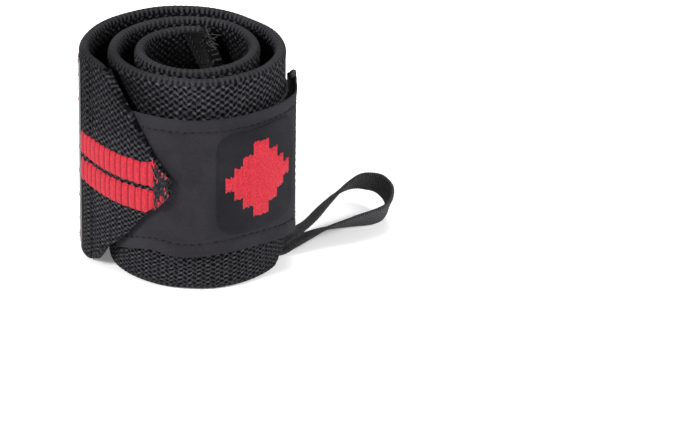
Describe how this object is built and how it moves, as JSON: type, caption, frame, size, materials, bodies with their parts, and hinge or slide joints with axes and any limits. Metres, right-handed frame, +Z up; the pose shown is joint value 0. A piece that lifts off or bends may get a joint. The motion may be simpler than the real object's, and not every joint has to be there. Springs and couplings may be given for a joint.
{
  "type": "wrist wrap",
  "caption": "Elastic wrist wrap rolled up in a spiral, with a tapered end, a closing tab stuck down round the outside and a thumb loop lying beside it.",
  "frame": {"origin": "on the surface that the roll stands on, at the middle of the whole footprint, thumb loop included", "axes": "+Z up along the roll's axis, -Y towards the tapered end and the emblem, +X towards the thumb loop"},
  "size_m": [0.1076, 0.0692, 0.076],
  "materials": {
    "knit_elastic": "matte",
    "red_stripe": "matte",
    "loop_pile": "matte",
    "tab_cloth": "matte",
    "hook_tape": "satin",
    "emblem_ground": "matte",
    "emblem_thread": "satin",
    "label_weave": "satin",
    "binding_tape": "matte",
    "strap_webbing": "matte"
  },
  "bodies": {
    "root": {"elastic_band": "knit_elastic", "stripe_upper_front": "red_stripe", "stripe_lower_front": "red_stripe", "stripe_upper_back": "red_stripe", "stripe_lower_back": "red_stripe", "loop_patch": "loop_pile", "closing_tab": "tab_cloth", "hook_pad": "hook_tape", "emblem_patch": "emblem_ground", "emblem_motif": "emblem_thread", "woven_label": "label_weave", "end_binding": "binding_tape", "thumb_loop": "strap_webbing"}
  },
  "joints": []
}
